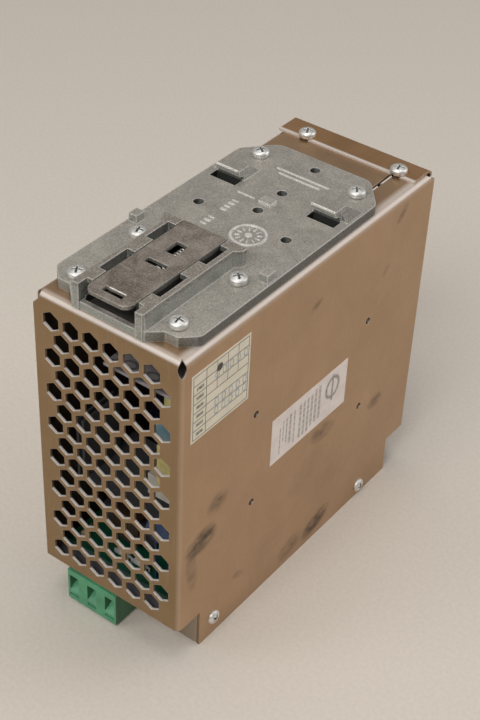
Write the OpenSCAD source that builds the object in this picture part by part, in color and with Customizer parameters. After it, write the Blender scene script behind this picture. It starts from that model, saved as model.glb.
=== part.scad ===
// DIN rail power supply: sheet steel case lying on its front face, die-cast
// rail adapter on its rear face (+Z), one pluggable terminal block at each end.
// X is the width, Y the length from the input end (-Y) to the output end (+Y).

/* [Case] */
// Width of the case
case_w = 55.5; // [55:0.5:58]
// Length of the case, end plate to end plate
case_l = 130; // [130:1:134]
// Depth of the case, front face to rear wall
case_h = 121.5; // [121:0.5:124]
// Thickness of the housing sheet
sheet_t = 1.0; // [0.8:0.1:1.0]
// Outer radius of the housing bends
bend_r = 2.0; // [1.8:0.1:2.2]
// Thickness of the cover and of the far end plate
cover_t = 0.8; // [0.6:0.1:0.8]
// Length and height of the connector recess at the input end
near_notch = [11.0, 15.1];
// Length and height of the connector recess at the output end
far_notch = [10.2, 14.4];

/* [Ventilation] */
// Width of a hexagonal hole across its flats
hex_flats = 6.0; // [5:0.1:6.3]
// Distance between hole centres
hex_pitch = 7.5; // [7.2:0.1:7.5]
// Holes in each row
hex_cols = 6; // [4:1:6]
// Rows of holes
hex_rows = 15; // [8:1:15]

/* [Rail adapter] */
// Half width of the adapter's base plate
adapter_half_w = 26.5; // [26:0.5:26.5]
// Thickness of the base plate
base_t = 3.5; // [3:0.1:4]
// Height of the guide above the case
guide_h = 9.0; // [8.8:0.1:9.4]
// Distance from the hook's root to the guide's far face
rail_seat_l = 36.2; // [36:0.1:36.5]
// Width of the slide's top
slide_w = 16; // [14:0.5:16]

/* [Connectors] */
// Distance between the poles
pole_pitch = 7.5; // [7.5:0.1:7.6]
// Poles of the input plug
input_poles = 3; // [2:1:3]
// Poles of the output plug
output_poles = 4; // [2:1:4]
// Height of a plug
plug_h = 13; // [13:0.1:13.2]

/* [Fasteners] */
// Radius of an M3 shank
m3_r = 1.5; // [1.4:0.05:1.5]
// Radius of an M3 pan head
head_r = 2.9; // [2.5:0.05:2.9]
// Height of an M3 pan head
head_h = 2.4; // [1.8:0.1:2.4]

/* [Hidden] */
$fn = 48;
half_w = case_w / 2;
half_l = case_l / 2;
slack = 0.05;                      // radial clearance of a shank in its hole

// Case walls
rear_x0 = -half_w + 3.1;           // left edge of the rear wall
end_x0 = -half_w + 0.55;           // left edge of the input end wall
corner_cut = 2.0;                  // chamfer of the end wall's upper left corner
bend_x = half_w - bend_r;          // centre lines of the three bends
bend_y = -half_l + bend_r;
bend_z = case_h - bend_r;
far_end_y = half_l - cover_t;      // inner face of the far end plate
strip_y0 = half_l - 10.7;          // near edge of the far end plate's flange
recess_y = [half_l - near_notch.x, half_l - far_notch.x];

// Side screws, and the four tapped holes for mounting the adapter on the side: [y, z]
side_screw_at = [[-47, 7.3], [37.7, 4.2]];
side_hole_pitch = [61.1, 36.1];
side_hole_centre = [1.55, 62.7];
tap_r = 1.25;

// Screws of the far end plate's flange
flange_screw_at = [[-16.8, 56.3], [19.1, 56.3]];
slit_x = 17.6;

// Rail adapter
adapter_z = case_h;
base_z = case_h + base_t;
guide_top = case_h + guide_h;
guide_y0 = -half_l + 1.5;
guide_y1 = -20;
hook_root_y = guide_y1 + rail_seat_l;
hook_x = 18.4;
hook_top = case_h + 7.3;
adapter_screw_at = [for (y = [-55.6, -28.5, 32.3], x = [-18.5, 18.5]) [x, y]];
wall_x = 10.2;                     // inner face of a guide wall
ledge_z = case_h + 7.4;            // underside of a guide's ledge
ledge_y0 = -60.3;
ledge_gaps = [[-54.5, -42.2], [-34.0, -23.8]];

// Latch slide
slide_gap = 0.3;
slide_y0 = -half_l + 0.3;
slide_half = slide_w / 2;
slide_plate_z = guide_top - 1.3;
slide_foot_z = base_z + slide_gap;
latch_lip = 2.4;
foot_at = [[-59.5, -55.2], [-41.6, -34.6], [-23.2, -20.9]];
spring_y = [-50, -24];
spring_r = 1.55;
spring_wire_r = 0.3;
spring_z = case_h + 5.6;
spring_turns = 20;

// Connectors, in a frame whose Y starts at the recess wall and points outwards
plug_z0 = 0.9;
plug_l = 11;
nose_l = 8;
nose_z = [3.2, 12.4];
pin_z = 8.0;
pin_y = -13;
clamp_y = 4.5;
plug_x0 = -18.2;                   // left end of both plugs

// Boards
board_z = 17.0;
board_t = 1.6;
board_top = board_z + board_t;
board_half_w = 25;
board_y = [-58, 58];
standoff_at = [for (y = [-38, 40], x = [-22.3, 22.3]) [x, y]];
panel_z = 0.3;                     // thickness of the front label under the panel
panel_top = panel_z + sheet_t;
led_at = [17, 47];
trim_at = [17, 30];
fuse_at = [3.6, -30.5, 23.4];       // left end of the fuse, on its centre line

// ---------------------------------------------------------------- helpers

// A box from its lowest to its highest corner
module block(lo, hi) {
    translate(lo) cube(hi - lo);
}

// Extrudes an outline drawn in (y, z) along +X from x0
module plate_x(x0, t) {
    translate([x0, 0, 0]) rotate([90, 0, 90]) linear_extrude(t) children();
}

// Extrudes an outline drawn in (x, z) along +Y from y0
module plate_y(y0, t) {
    translate([0, y0 + t, 0]) rotate([90, 0, 0]) linear_extrude(t) children();
}

// A round bar along +Z
module bar_z(at, r, z0, z1) {
    translate([at.x, at.y, z0]) cylinder(r = r, h = z1 - z0);
}

// Section of a 90 degree bend in the first quadrant
module bend_section(r, t) {
    intersection() {
        difference() {
            circle(r = r, $fn = 64);
            circle(r = r - t, $fn = 64);
        }
        square(r);
    }
}

// Points of the arc that rounds corner b between a and c
function unit(v) = v / norm(v);
function fillet(a, b, c, r, n) =
    let (u = unit(a - b), v = unit(c - b))
    let (half = acos(u * v) / 2, back = r / tan(half))
    let (o = b + unit(u + v) * (r / sin(half)))
    let (p = b + u * back - o, q = b + v * back - o)
    [for (i = [0:n]) o + unit(p * (1 - i / n) + q * (i / n)) * r];

// An outline with every corner rounded by its own radius
function rounded(points, radii, n = 5) =
    let (m = len(points))
    [for (i = [0:m - 1])
        each (radii[i] == 0
            ? [points[i]]
            : fillet(points[(i + m - 1) % m], points[i], points[(i + 1) % m], radii[i], n))];

// Half an outline, from the bottom up the right side, completed on the left
function mirrored(points) =
    concat(points, [for (i = [len(points) - 1:-1:0]) [-points[i].x, points[i].y]]);

// Pan head screw along +Z with its head's seat at z = 0
module pan_screw(shank_l, r = m3_r, hr = head_r, hh = head_h) {
    crown = hh * 0.45;
    difference() {
        union() {
            cylinder(r = hr, h = hh - crown);
            translate([0, 0, hh - crown]) rotate_extrude() pan_profile(hr, crown);
        }
        for (a = [0, 90]) {
            rotate([0, 0, a + 20]) translate([-hr * 0.5, -0.28, hh * 0.5]) cube([hr, 0.56, hh]);
        }
    }
    translate([0, 0, -shank_l]) cylinder(r = r, h = shank_l);
}

// Quarter section of the head's crown
module pan_profile(hr, crown) {
    intersection() {
        translate([hr - crown * 1.6, 0]) square([crown * 1.6, crown]);
        translate([hr - crown * 1.6, -crown * 0.6]) circle(r = crown * 1.6, $fn = 64);
    }
    square([hr - crown * 1.6, crown]);
}

// Centres of the ventilation holes, in (x, z)
function hex_centres() =
    [for (row = [0:hex_rows - 1], col = [0:hex_cols - 1])
        [(col - (hex_cols - 1) / 2 - 0.25 + (row % 2) / 2) * hex_pitch,
         case_h - 8.7 - row * hex_pitch * sin(60)]];

module hex_holes() {
    for (c = hex_centres()) {
        translate(c) rotate(30) circle(r = hex_flats / 2 / cos(30), $fn = 6);
    }
}

// Side wall outline in (y, z), with the two connector recesses
module side_outline(y0, y1, z1) {
    polygon([
        [-recess_y[0], 0], [recess_y[1], 0], [recess_y[1], far_notch.y], [y1, far_notch.y],
        [y1, z1], [y0, z1], [y0, near_notch.y], [-recess_y[0], near_notch.y]
    ]);
}

// ---------------------------------------------------------------- case

module housing_shell() {
    color("silver") difference() {
        union() {
            block([rear_x0, bend_y, case_h - sheet_t], [bend_x, far_end_y - 1, case_h]);
            plate_y(-half_l, sheet_t) end_wall_outline();
            plate_x(half_w - sheet_t, sheet_t) side_outline(bend_y, half_l, bend_z);
            translate([rear_x0, bend_y, bend_z]) mirror([0, 1, 0]) plate_x(0, bend_x - rear_x0)
                bend_section(bend_r, sheet_t);
            translate([bend_x, bend_y, bend_z]) plate_y(0, far_end_y - 1 - bend_y)
                bend_section(bend_r, sheet_t);
            translate([bend_x, bend_y, near_notch.y]) mirror([0, 1, 0])
                linear_extrude(bend_z - near_notch.y) bend_section(bend_r, sheet_t);
            shell_corner();
        }
        corner_relief();
        shell_holes();
    }
}

module end_wall_outline() {
    difference() {
        polygon([
            [end_x0, near_notch.y], [bend_x, near_notch.y], [bend_x, bend_z], [rear_x0, bend_z],
            [end_x0 + corner_cut, bend_z - 0.6], [end_x0, bend_z - 0.6 - corner_cut]
        ]);
        hex_holes();
    }
}

// Where the three bends meet
module shell_corner() {
    translate([bend_x, bend_y, bend_z]) intersection() {
        difference() {
            sphere(r = bend_r, $fn = 64);
            sphere(r = bend_r - sheet_t, $fn = 64);
        }
        translate([0, -bend_r, 0]) cube(bend_r);
    }
}

// Lens shaped opening left by the sheet's corner cut
module corner_relief() {
    lens_r = 4.2;
    lens_half = 1.25;
    translate([bend_x, bend_y, bend_z - 0.9]) rotate([0, 0, -45]) intersection() {
        translate([0, lens_r - lens_half, 0]) rotate([0, 90, 0]) cylinder(r = lens_r, h = 6, $fn = 96);
        translate([0, lens_half - lens_r, 0]) rotate([0, 90, 0]) cylinder(r = lens_r, h = 6, $fn = 96);
    }
}

module shell_holes() {
    for (at = concat(adapter_screw_at, flange_screw_at)) {
        bar_z(at, m3_r + slack, case_h - 5, case_h + 1);
    }
    block([slit_x - 0.7, 35, case_h - 2], [slit_x + 0.7, 57, case_h + 1]);
    bar_z([bend_x + 0.6, far_end_y - 1.5], 0.8, bend_z, case_h + 1);
    for (at = side_hole_corners()) {
        translate([half_w - 2, at.x, at.y]) rotate([0, 90, 0]) cylinder(r = tap_r, h = 4);
    }
    for (at = side_screw_at) {
        translate([half_w - 2, at.x, at.y]) rotate([0, 90, 0]) cylinder(r = m3_r + slack, h = 4);
    }
}

function side_hole_corners() =
    [for (i = [-0.5, 0.5], j = [-0.5, 0.5])
        [side_hole_centre.x + i * side_hole_pitch.x, side_hole_centre.y + j * side_hole_pitch.y]];

module side_cover() {
    top_r = 2.4;
    edge_r = 1.6;
    y0 = -half_l + sheet_t;
    flange_z = [near_notch.y + 2, case_h - 5];
    color("silver") difference() {
        union() {
            plate_x(-half_w, cover_t) side_outline(y0 + edge_r, far_end_y - edge_r, case_h - sheet_t - top_r);
            translate([-half_w + top_r, y0 + edge_r, case_h - sheet_t - top_r]) mirror([1, 0, 0])
                plate_y(0, far_end_y - y0 - 2 * edge_r) bend_section(top_r, cover_t);
            block([-half_w + top_r, y0 + edge_r, case_h - sheet_t - cover_t],
                  [-20.6, far_end_y - edge_r, case_h - sheet_t]);
            cover_edge(y0, 1, edge_r, flange_z);
            cover_edge(far_end_y, -1, edge_r, flange_z);
        }
        for (at = side_screw_at) {
            translate([-half_w - 2, at.x, at.y]) rotate([0, 90, 0]) cylinder(r = m3_r + slack, h = 4);
        }
    }
}

// Bent vertical edge of the cover and its inward flange
module cover_edge(y, side, r, z) {
    translate([-half_w + r, y + side * r, z[0]]) mirror([1, 0, 0])
        mirror([0, side > 0 ? 1 : 0, 0]) linear_extrude(z[1] - z[0]) bend_section(r, cover_t);
    flange = side > 0 ? [y, y + cover_t] : [y - cover_t, y];
    block([-half_w + r, flange[0], z[0]], [-24.3, flange[1], z[1]]);
}

module far_end_plate() {
    r = 2 * cover_t;
    x = [-half_w + 0.85, half_w - sheet_t - 0.25];
    top = case_h + cover_t;
    color("silver") difference() {
        union() {
            plate_y(far_end_y, cover_t) difference() {
                translate([x[0], far_notch.y]) square([x[1] - x[0], top - r - far_notch.y]);
                hex_holes();
            }
            translate([x[0], half_l - r, top - r]) plate_x(0, x[1] - x[0]) bend_section(r, cover_t);
            block([x[0], strip_y0, case_h], [x[1] - 0.3, half_l - r, top]);
        }
        for (at = flange_screw_at) {
            bar_z(at, m3_r + 0.1, case_h - 1, top + 1);
            block([at.x - m3_r - 0.1, strip_y0 - 1, case_h - 1], [at.x + m3_r + 0.1, at.y, top + 1]);
        }
    }
}

module front_panel() {
    x = half_w - sheet_t - 0.15;
    y = [-recess_y[0], recess_y[1]];
    flange_h = 12;
    color("silver") difference() {
        union() {
            block([-x, y[0], panel_z], [x, y[1], panel_top]);
            block([-x, y[0], panel_z], [x, y[0] + sheet_t, near_notch.y + sheet_t]);
            block([-x, y[1] - sheet_t, panel_z], [x, y[1], far_notch.y + sheet_t]);
            block([-x, -half_l + 1.9, near_notch.y], [x, y[0] + sheet_t, near_notch.y + sheet_t]);
            block([-x, y[1] - sheet_t, far_notch.y], [x, far_end_y - 0.9, far_notch.y + sheet_t]);
            for (side = [-1, 1]) {
                translate([side * (x - sheet_t / 2), 0, 0]) block(
                    [-sheet_t / 2, y[0] + sheet_t, panel_top],
                    [sheet_t / 2, y[1] - sheet_t, flange_h]);
            }
        }
        connector_window(y[0] - 1, input_poles);
        connector_window(y[1] - 2, output_poles);
        bar_z(led_at, 2.6, -1, 3);
        bar_z(trim_at, 2.4, -1, 3);
        for (at = side_screw_at, side = [-1, 1]) {
            translate([side * x - 2, at.x, at.y]) rotate([0, 90, 0]) cylinder(r = m3_r + slack, h = 4);
        }
    }
}

// Opening in a recess wall that a plug's nose passes through
module connector_window(y, poles) {
    block([plug_x0 + 0.1, y, 2.8], [plug_x0 + plug_w(poles) - 0.1, y + 3, 12.8]);
}

module front_label() {
    color("dimgray") difference() {
        block([-half_w + 1.4, -recess_y[0] + 0.2, 0], [half_w - 1.4, recess_y[1] - 0.2, panel_z]);
        bar_z(led_at, 2.6, -1, 3);
        bar_z(trim_at, 2.2, -1, 3);
    }
}

// ---------------------------------------------------------------- rail adapter

module rail_adapter() {
    color("darkgray") difference() {
        union() {
            translate([0, 0, adapter_z]) linear_extrude(base_t) polygon(adapter_outline());
            for (side = [0, 1]) {
                mirror([side, 0, 0]) {
                    guide_wall();
                    rail_hook();
                    block([22.7, -24.4, base_z - 1], [25.8, -20.6, case_h + 6.2]);
                }
            }
            block([-2.3, 9, base_z - 1], [2.4, 12.4, base_z + 0.8]);
            block([-2.5, spring_y[0] - 1.6, base_z - 1], [2.5, spring_y[0], case_h + 7.2]);
            adapter_ribs();
        }
        adapter_holes();
    }
}

function adapter_outline() =
    let (half = [[13.4, -63.8], [17.6, -60], [21.8, -60], [adapter_half_w, -55.4],
                 [adapter_half_w, 31.4], [17.6, 41.9]])
    let (radii = [0, 1.2, 1.5, 3, 4, 5])
    rounded(mirrored(half), concat(radii, [for (i = [len(radii) - 1:-1:0]) radii[i]]));

// Right-hand wall of the slide's guide, with the ledge that holds the slide down
module guide_wall() {
    difference() {
        union() {
            plate_y(guide_y0, guide_y1 - guide_y0) polygon([
                [wall_x, base_z - 1], [13.5, base_z - 1], [13.4, base_z], [12.9, guide_top], [wall_x, guide_top]
            ]);
            block([wall_x, guide_y0 - 0.7, adapter_z], [12.8, guide_y0 + 1, guide_top]);
            block([slide_half + slide_gap, ledge_y0, ledge_z], [wall_x + 1, guide_y1, guide_top]);
            block([slide_half + slide_gap, guide_y1 - 0.6, base_z - 1], [wall_x + 1, guide_y1, ledge_z + 0.5]);
            translate([0, 0, base_z - 1]) linear_extrude(guide_top - base_z + 1) polygon([
                [12, guide_y1 - 5], [12.9, guide_y1 - 4.1], [15.2, guide_y1 - 1.9], [15.2, guide_y1],
                [12, guide_y1]
            ]);
        }
        for (gap = ledge_gaps) {
            block([slide_half - 1, gap[0], case_h + 5], [wall_x + 0.9, gap[1], guide_top + 1]);
        }
    }
}

// Right-hand fixed hook: a tongue over the rail's edge, ramped down behind and on its outer side
module rail_hook() {
    intersection() {
        plate_x(hook_x - 6, 14) polygon([
            [hook_root_y - 1.9, case_h + 5.4], [hook_root_y - 1.9, hook_top], [hook_root_y + 3.4, hook_top],
            [hook_root_y + 10.2, base_z - 1], [hook_root_y, base_z - 1], [hook_root_y, case_h + 5.0]
        ]);
        union() {
            plate_y(hook_root_y - 3, 16) polygon([
                [hook_x - 5.6, base_z - 1], [hook_x + 5.2, base_z - 1], [hook_x + 4.2, hook_top],
                [hook_x - 4.8, hook_top]
            ]);
            plate_y(hook_root_y + 0.6, 12) polygon([
                [hook_x, base_z - 1], [hook_x + 7.6, base_z - 1], [hook_x + 7.2, base_z],
                [hook_x + 4.2, hook_top - 0.4], [hook_x, hook_top - 0.4]
            ]);
        }
    }
}

// Raised bars and a plain toothed ring cast on the base
module adapter_ribs() {
    block([-9.7, 29.0, base_z - 1], [10.0, 29.6, base_z + 0.3]);
    block([-7.5, 26.8, base_z - 1], [8.0, 27.4, base_z + 0.3]);
    block([-10.7, 9.6, base_z - 1], [-4.3, 10.2, base_z + 0.25]);
    difference() {
        bar_z([6.5, -7.7], 5.8, base_z - 1, base_z + 0.3);
        bar_z([6.5, -7.7], 5.0, base_z - 2, base_z + 1);
    }
    bar_z([6.5, -7.7], 1.1, base_z - 1, base_z + 0.3);
    for (a = [0:30:330]) {
        translate([6.5, -7.7, 0]) rotate([0, 0, a]) block([2.6, -0.2, base_z - 1], [4.2, 0.2, base_z + 0.25]);
    }
    for (bar = [[-11.3, 0.6], [-9.4, 1.0], [-7.2, 0.6], [-1.6, 1.0], [0.6, 0.6], [2.6, 1.0], [4.6, 0.6]]) {
        block([-9.0, bar[0], base_z - 1], [-6.9, bar[0] + bar[1], base_z + 0.25]);
    }
}

module adapter_holes() {
    for (at = adapter_screw_at) {
        bar_z(at, m3_r + 0.15, case_h - 1, base_z + 1);
    }
    block([-wall_x + 0.4, guide_y0 + 1.4, case_h + 0.8], [wall_x - 0.4, spring_y[0] - 2.2, base_z + 1]);
    block([-wall_x, -half_l, base_z - 0.8], [wall_x, guide_y0 + 2, base_z + 1]);
    for (at = [[-16.5, -2.4], [16.5, -2.4], [0.4, 5.3], [0.4, 17.9], [0.4, 35.9]]) {
        bar_z(at, 1.7, case_h - 1, base_z + 1);
    }
    for (side = [-1, 1]) {
        translate([side * 18.6, 0, 0])
            block([-5, hook_root_y - 4.1, case_h - 1], [5, hook_root_y, base_z + 0.5]);
    }
}

module latch_slide() {
    wall_y = spring_y[1];
    color("gray") difference() {
        union() {
            translate([0, 0, slide_plate_z]) linear_extrude(guide_top - slide_plate_z) polygon(slide_outline());
            for (side = [0, 1]) {
                mirror([side, 0, 0]) {
                    block([slide_half - 1.4, -59.5, slide_foot_z], [slide_half, guide_y1, guide_top - 1]);
                    for (y = foot_at) {
                        block([slide_half - 1, y[0], case_h + 5.6], [slide_half + 1.9, y[1], case_h + 7.0]);
                    }
                }
            }
            block([-slide_half, wall_y, slide_foot_z], [slide_half, wall_y + 1.5, guide_top - 1]);
            plate_x(-slide_half, slide_w) polygon([
                [guide_y1 - 1.5, guide_top], [guide_y1, guide_top], [guide_y1 + latch_lip, base_z + 1.3],
                [guide_y1 - 1.5, base_z + 1.3]
            ]);
        }
        block([-3.6, -62.0, slide_foot_z], [3.6, -59.8, guide_top + 1]);
        block([-3.6, -43.8, slide_foot_z], [3.6, -41.6, guide_top + 1]);
        block([-2.4, -36.2, slide_foot_z], [1.6, -30.2, guide_top + 1]);
    }
}

function slide_outline() =
    let (half = [[slide_half, slide_y0], [slide_half, guide_y1]])
    rounded(mirrored(half), [3, 0, 0, 3], 6);

// Points of a circle round the coil's centre line at turn t
function coil_ring(t, sides) =
    let (y = spring_y[0] + spring_wire_r + t / spring_turns * (spring_y[1] - spring_y[0] - 2 * spring_wire_r))
    let (a = t * 360)
    [for (i = [0:sides - 1])
        let (b = i * 360 / sides, r = spring_r + spring_wire_r * cos(b))
        [r * cos(a), y + spring_wire_r * sin(b), spring_z + r * sin(a)]];

module latch_spring() {
    sides = 6;
    steps = spring_turns * 14;
    rings = [for (k = [0:steps]) coil_ring(k / steps * spring_turns, sides)];
    walls = [for (k = [0:steps - 1], i = [0:sides - 1])
        [k * sides + i, k * sides + (i + 1) % sides, (k + 1) * sides + (i + 1) % sides, (k + 1) * sides + i]];
    ends = [[for (i = [sides - 1:-1:0]) i], [for (i = [0:sides - 1]) steps * sides + i]];
    color("gainsboro") polyhedron([for (ring = rings) each ring], concat(walls, ends));
}

// ---------------------------------------------------------------- fasteners

module adapter_screws() {
    color("lightgray") for (at = adapter_screw_at) {
        translate([at.x, at.y, base_z]) pan_screw(6);
    }
}

module flange_screws() {
    color("lightgray") for (at = flange_screw_at) {
        translate([at.x, at.y, case_h + cover_t]) pan_screw(4.5);
    }
}

module side_screws() {
    color("lightgray") for (at = side_screw_at, side = [-1, 1]) {
        translate([side * half_w, at.x, at.y]) rotate([0, side * 90, 0]) pan_screw(2.6, hr = 2.5, hh = 1.5);
    }
}

// ---------------------------------------------------------------- labels

module table_label() {
    color("cornsilk") block([half_w, -61, 90.3], [half_w + 0.12, -34, 114.7]);
}

module notice_label() {
    color("whitesmoke") block([half_w, -20, 53.4], [half_w + 0.12, 21.6, 71.9]);
}

// ---------------------------------------------------------------- connectors

function plug_w(poles) = (poles - 1) * pole_pitch + 5.4;
function pole_x(i) = plug_x0 + 2.7 + i * pole_pitch;

// Place a connector at the input end or at the output end
module at_input() {
    translate([0, -recess_y[0], 0]) mirror([0, 1, 0]) children();
}

module at_output() {
    translate([0, recess_y[1], 0]) children();
}

// Space that narrows from the plug's face to the wire clamp
module wire_funnel(x) {
    face = plug_l + 0.3;
    intersection() {
        linear_extrude(20) polygon([
            [x - 1.6, 7.2], [x + 1.6, 7.2], [x + 1.9, face], [x - 1.9, face]
        ]);
        plate_x(x - 3, 6) polygon([[7.2, 7.5], [face, 4.6], [face, 11.5], [8.6, 11.2], [7.2, 10.6]]);
    }
}

module plug_body(poles) {
    w = plug_w(poles);
    color("mediumseagreen") difference() {
        union() {
            block([plug_x0, 0.2, plug_z0], [plug_x0 + w, plug_l + 0.2, plug_z0 + plug_h]);
            block([plug_x0 + 0.5, -nose_l, nose_z[0]], [plug_x0 + w - 0.5, 1, nose_z[1]]);
        }
        for (i = [0:poles - 1]) {
            x = pole_x(i);
            block([x - 2.2, clamp_y - 2.8, 3.4], [x + 2.2, clamp_y + 2.8, 11.7]);
            block([x - 1.45, -nose_l - 1, 6.5], [x + 1.45, clamp_y, 9.35]);
            wire_funnel(x);
            bar_z([x, clamp_y], 2.2, 0, 2.9);
            bar_z([x, clamp_y], 1.35, 2, 4);
            block([x - 1.9, plug_l - 0.8, 2.5], [x + 1.9, plug_l + 1, 3.5]);
        }
    }
}

module header_body(poles) {
    w = plug_w(poles);
    color("seagreen") difference() {
        union() {
            block([plug_x0 - 0.6, -11.5, 1.5], [plug_x0 + w + 0.6, -sheet_t, 14]);
            block([plug_x0 + 0.5, -11.5, 13], [plug_x0 + w - 0.5, -9, board_z]);
        }
        block([plug_x0 + 0.2, -nose_l - 0.5, nose_z[0] - 0.3],
              [plug_x0 + w - 0.2, 0, nose_z[1] + 0.3]);
        for (i = [0:poles - 1]) {
            block([pole_x(i) - 0.55, -13, pin_z - 0.55], [pole_x(i) + 0.55, 0, pin_z + 0.55]);
        }
    }
}

// Angled pins from the header through the board
module pin_row(poles) {
    for (i = [0:poles - 1]) {
        x = pole_x(i);
        block([x - 0.5, pin_y - 0.5, pin_z - 0.5], [x + 0.5, -2.6, pin_z + 0.5]);
        block([x - 0.5, pin_y - 0.5, pin_z - 0.5], [x + 0.5, pin_y + 0.5, board_top + 1.2]);
    }
}

// Sprung sockets with the bars that the wires are clamped against
module contact_row(poles) {
    color("goldenrod") for (i = [0:poles - 1]) {
        x = pole_x(i);
        block([x - 1.1, -0.4, 6.9], [x + 1.1, clamp_y + 2.4, 7.6]);
        difference() {
            block([x - 1.2, -7.6, 6.8], [x + 1.2, -0.2, 9.2]);
            block([x - 0.62, -8, pin_z - 0.62], [x + 0.62, -1.2, pin_z + 0.62]);
        }
    }
}

module clamp_screw(i) {
    color("lightgray") translate([pole_x(i), clamp_y, 0]) difference() {
        union() {
            translate([0, 0, 1.2]) cylinder(r = 1.9, h = 1.4);
            translate([0, 0, 2.5]) cylinder(r = 1.25, h = 4.0);
        }
        translate([-2.5, -0.3, 1.1]) cube([5, 0.6, 0.9]);
    }
}

module clamp_cage(i) {
    x = pole_x(i);
    color("silver") difference() {
        block([x - 1.9, clamp_y - 2.5, 5.5], [x + 1.9, clamp_y + 2.5, 11.4]);
        block([x - 1.4, clamp_y - 3, 6.5], [x + 1.4, clamp_y + 3, 10.6]);
        bar_z([x, clamp_y], 1.3, 5, 7);
    }
}

module input_plug() { at_input() plug_body(input_poles); }
module input_header() { at_input() header_body(input_poles); }
module input_contacts() { at_input() contact_row(input_poles); }
module output_plug() { at_output() plug_body(output_poles); }
module output_header() { at_output() header_body(output_poles); }
module output_contacts() { at_output() contact_row(output_poles); }

module header_pins() {
    color("lightgray") {
        at_input() pin_row(input_poles);
        at_output() pin_row(output_poles);
    }
}

// ---------------------------------------------------------------- boards

module main_board() {
    color("darkgreen") difference() {
        block([-board_half_w, board_y[0], board_z], [board_half_w, board_y[1], board_top]);
        for (at = standoff_at) {
            bar_z(at, 1.6, 10, 30);
        }
        for (i = [0:input_poles - 1]) {
            bar_z([pole_x(i), -recess_y[0] - pin_y], 0.8, 10, 30);
        }
        for (i = [0:output_poles - 1]) {
            bar_z([pole_x(i), recess_y[1] + pin_y], 0.8, 10, 30);
        }
    }
}

module board_standoffs() {
    color("gold") for (at = standoff_at) {
        difference() {
            bar_z(at, 2.5, panel_top, board_z);
            bar_z(at, tap_r, 5, 30);
        }
    }
}

module board_screws() {
    color("lightgray") for (at = standoff_at) {
        translate([at.x, at.y, board_top]) pan_screw(10, r = 1.2);
    }
}

module insulation_sheet() {
    color("lightyellow") block([-24.8, -34, panel_top], [24.8, 25, panel_top + 0.4]);
}

module filter_board() {
    color("darkgreen") block([23.4, -58, 28], [25.0, -24, 103]);
}

module filter_bracket() {
    color("lightslategray") {
        block([25.0, -60, 50], [26.2, -28, 105]);
        block([-3.5, -62, 104], [26.2, -26, 105]);
        block([-14, -57, 47.5], [23.4, -30, 48.5]);
        for (x = [-19.3, -17.1]) {
            block([x - 0.4, -57, 47.5], [x + 0.4, -40, 72]);
        }
        block([-19.7, -57, 47.5], [-14, -30, 48.5]);
    }
}

module control_board() {
    color("darkgreen") block([-24, 8, board_top], [-22.4, 34, 62]);
    color("black") for (z = [28, 40, 52]) {
        block([-22.4, 12, z], [-20.9, 22, z + 5]);
    }
    color("darkblue") block([-22.4, 25, 30], [-20.6, 32, 46]);
}

// ---------------------------------------------------------------- input parts

module line_choke_core() {
    color("slategray") difference() {
        block([-18.5, -46.5, 22.4], [3, -28.5, 30]);
        block([-13.5, -42, 20], [-2, -33, 34]);
    }
    color("slategray") for (x = [-16, 0.5]) {
        block([x - 2.5, -40, board_top], [x + 2.5, -35, 22.4]);
    }
}

module line_choke_windings() {
    color("darkslategray") for (y = [-44.25, -30.75]) {
        difference() {
            block([-13.2, y - 4.4, 20.4], [-2.3, y + 4.4, 32]);
            block([-14, y - 2.3, 22.3], [-1, y + 2.3, 30.1]);
        }
    }
}

module varistor() {
    color("royalblue") {
        translate([12.3, -51.6, 42.6]) rotate([90, 0, 0]) cylinder(r = 4.6, h = 4.8);
        for (x = [9.8, 14.8]) {
            bar_z([x, -54], 0.45, board_top, 41);
        }
    }
}

module fuse() {
    color("lightcyan") translate(fuse_at) rotate([0, 90, 0]) cylinder(r = 2.55, h = 20);
}

module fuse_clips() {
    color("gainsboro") for (x = [1, 14.5]) {
        translate([fuse_at.x + x, fuse_at.y, 0]) difference() {
            block([0, -3.2, board_top], [4.5, 3.2, 25]);
            translate([-1, 0, fuse_at.z]) rotate([0, 90, 0]) cylinder(r = 2.6, h = 7);
            block([-1, -1.8, fuse_at.z], [6, 1.8, 26]);
        }
    }
}

module x_capacitors() {
    color("gold") {
        block([12.6, -57.4, 64], [23.4, -39.4, 79.5]);
        block([15.2, -57.4, 92], [23.4, -41.4, 102]);
        block([8.9, -57, 58], [12.3, -50, 66]);
        block([8.9, -57, 58], [23.4, -50, 63.7]);
    }
}

module y_capacitors() {
    color("steelblue") for (y = [-53, -43]) {
        translate([17.2, y, 85.6]) rotate([90, 0, 0]) cylinder(r = 5.4, h = 4);
        for (z = [82.6, 88.6]) {
            translate([18, y - 2, z]) rotate([0, 90, 0]) cylinder(r = 0.4, h = 5.4);
        }
    }
}

module bulk_capacitors() {
    color("midnightblue") for (x = [-12.1, 12.1]) {
        difference() {
            bar_z([x, -13], 11.5, board_top, 68);
            bar_z([x, -13], 9.8, 67.4, 69);
        }
    }
}

// ---------------------------------------------------------------- power stage

module heatsinks() {
    color("lightslategray") {
        block([-23, 1, board_top], [23, 3, 98]);
        block([-23, 1, 96], [23, 8, 98]);
        block([-23, 41, 22], [23, 43, 98]);
        block([-23, 36, 96], [23, 43, 98]);
        for (x = [-12, 12.5]) {
            block([x - 1.6, 41, board_top], [x + 1.6, 43, 23]);
        }
    }
}

module power_semiconductors() {
    color("black") {
        for (x = [-13, 9]) {
            block([x - 8, 3, 66], [x + 8, 8, 87]);
            block([x - 8, 36, 66], [x + 8, 41, 87]);
        }
    }
}

module transformer_core() {
    color("dimgray") {
        difference() {
            block([-20, 18, 20.4], [20, 32, 56.4]);
            block([-14.4, 17, 27.4], [14.4, 33, 49.4]);
        }
        bar_z([0, 25], 6.5, 20.4, 56.4);
    }
}

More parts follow.
